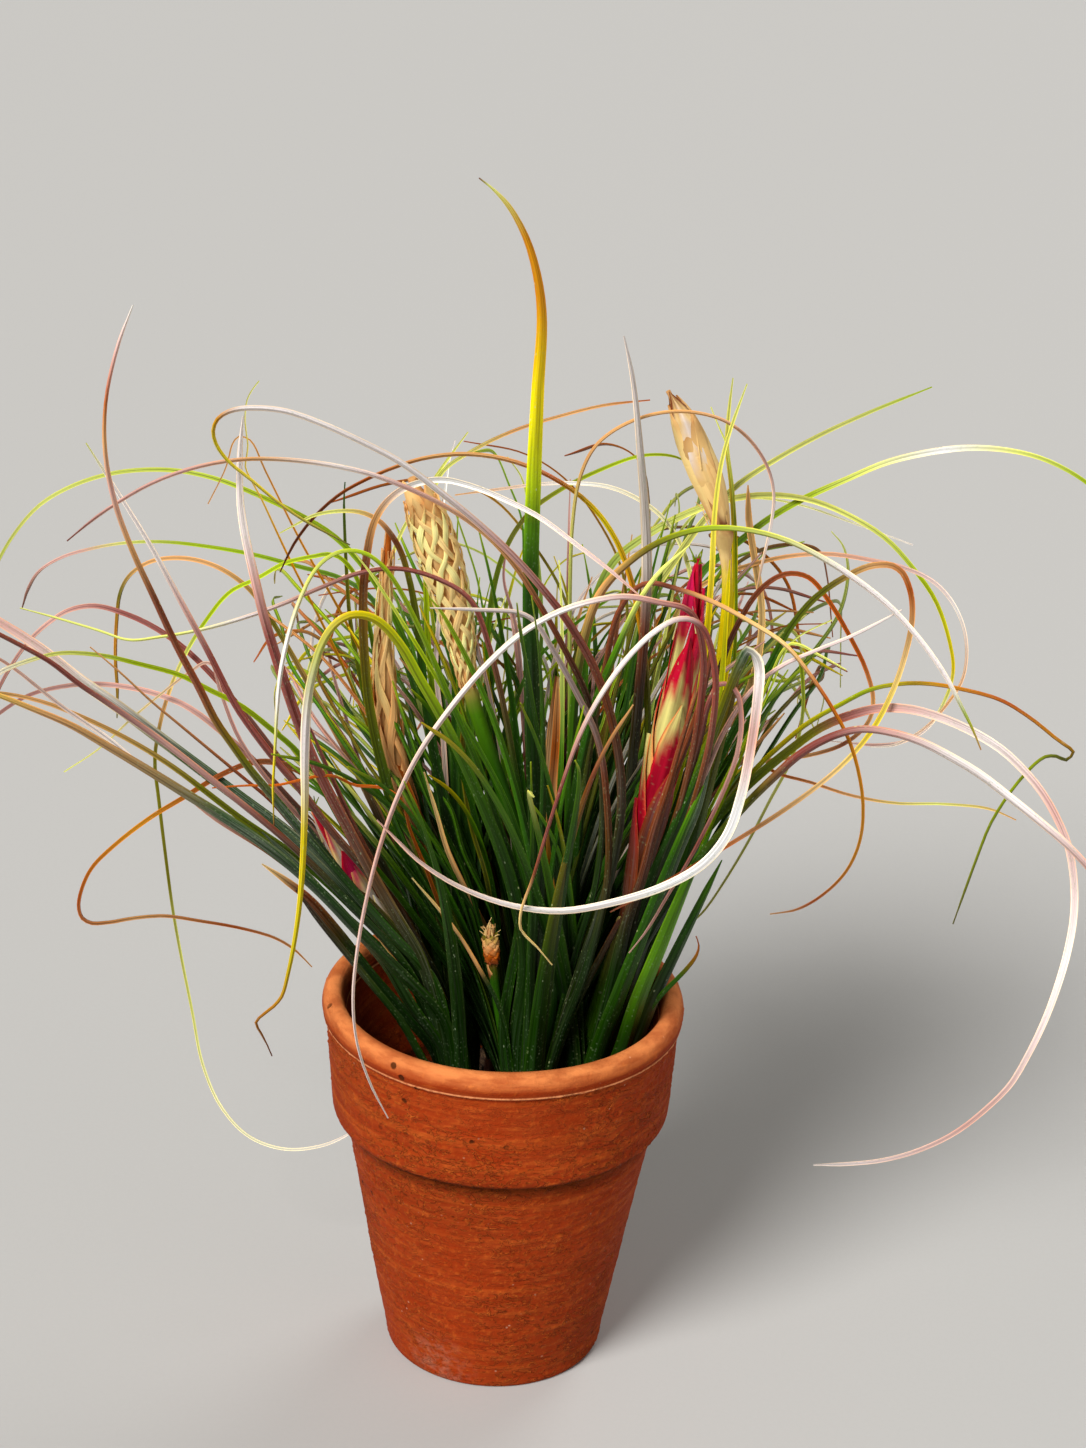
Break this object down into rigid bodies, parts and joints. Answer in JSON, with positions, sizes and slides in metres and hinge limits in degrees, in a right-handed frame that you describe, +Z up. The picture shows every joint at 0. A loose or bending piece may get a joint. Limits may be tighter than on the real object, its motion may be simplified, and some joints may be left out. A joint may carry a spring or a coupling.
{
  "type": "potted air plant",
  "caption": "Dense clump of narrow arching air-plant leaves with flower spikes, standing in a small rimmed terracotta pot.",
  "frame": {"origin": "on the pot's axis, on the surface that the pot stands on, at the centre of the plan outline", "axes": "+Z up along the pot's axis, -Y towards the viewer of the picture, +X to the viewer's right"},
  "size_m": [0.2857, 0.2043, 0.2696],
  "materials": {
    "terracotta": "matte, unglazed",
    "bark": "matte, rough",
    "green_leaf": "satin",
    "silver_leaf": "satin",
    "crimson_bract": "satin",
    "dry_bract": "matte"
  },
  "bodies": {
    "root": {"pot": "terracotta", "growing_medium": "bark", "rosette_centre": "green_leaf", "rosette_left": "silver_leaf", "rosette_right": "silver_leaf", "rosette_front": "green_leaf", "rosette_back_left": "green_leaf", "rosette_back_right": "green_leaf", "flower_spike_right": "crimson_bract", "flower_spike_left": "crimson_bract", "dry_spike_braided": "dry_bract", "dry_spike_tall": "dry_bract", "dry_spike_narrow": "dry_bract", "scape_stub": "dry_bract"}
  },
  "joints": []
}
